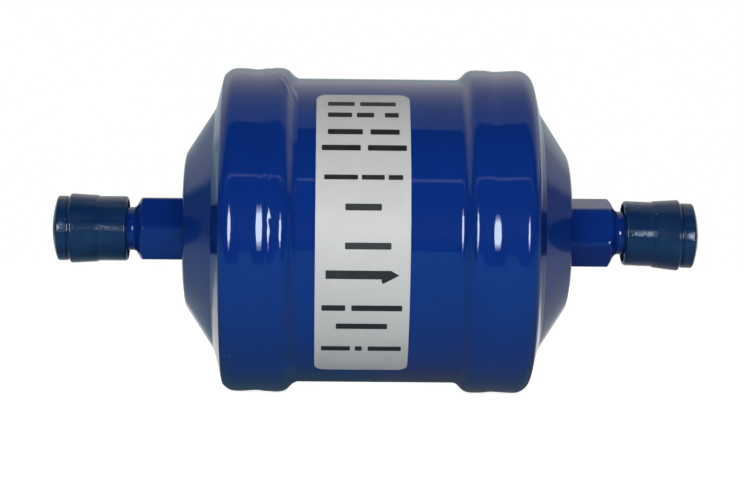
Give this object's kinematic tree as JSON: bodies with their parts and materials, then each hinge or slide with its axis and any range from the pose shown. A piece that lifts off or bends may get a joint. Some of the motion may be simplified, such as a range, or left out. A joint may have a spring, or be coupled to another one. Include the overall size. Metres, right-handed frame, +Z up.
{
  "type": "filter drier",
  "caption": "Sealed steel cylinder with stepped domed ends and male flare fittings, holding a block of drying agent that dries and filters refrigerant in a liquid line.",
  "frame": {"origin": "middle of the body, on the flow axis", "axes": "+X along the flow, from the inlet fitting to the outlet fitting; +Z up; the label faces -Y"},
  "size_m": [0.1256, 0.063, 0.063],
  "materials": {
    "blue_paint": "gloss deep blue powder paint over steel",
    "painted_weld": "gloss deep blue paint over a lumpy weld bead",
    "soft_plastic": "soft dark navy moulded plastic, satin",
    "label_film": "silver white satin film",
    "braze": "bare braze",
    "spring_steel": "bare spring steel",
    "sheet_steel": "bare pressed steel sheet",
    "wire_mesh": "woven stainless wire",
    "felt": "pale pressed felt",
    "polyester": "white needled polyester",
    "drying_agent": "porous moulded drying agent"
  },
  "bodies": {
    "drier": {"shell_tube": "blue_paint", "inlet_end_cap": "blue_paint", "outlet_end_cap": "blue_paint", "inlet_seam_weld": "painted_weld", "outlet_seam_weld": "painted_weld", "inlet_flare_fitting": "blue_paint", "outlet_flare_fitting": "blue_paint", "inlet_braze_ring": "braze", "outlet_braze_ring": "braze", "label": "label_film", "leaf_spring": "spring_steel", "pressure_pan": "sheet_steel", "inlet_pad": "felt", "desiccant_core": "drying_agent", "bypass_ring": "felt", "filter_mat": "polyester", "outlet_screen": "wire_mesh", "perforated_plate": "sheet_steel"},
    "inlet_seal_cap": {"inlet_seal_cap": "soft_plastic"},
    "outlet_seal_cap": {"outlet_seal_cap": "soft_plastic"}
  },
  "joints": [
    {"name": "inlet_cap_pull", "type": "slide", "parent": "drier", "child": "inlet_seal_cap", "axis": [-1, 0, 0], "range_m": [0, 0.02]},
    {"name": "outlet_cap_pull", "type": "slide", "parent": "drier", "child": "outlet_seal_cap", "axis": [1, 0, 0], "range_m": [0, 0.02]}
  ]
}
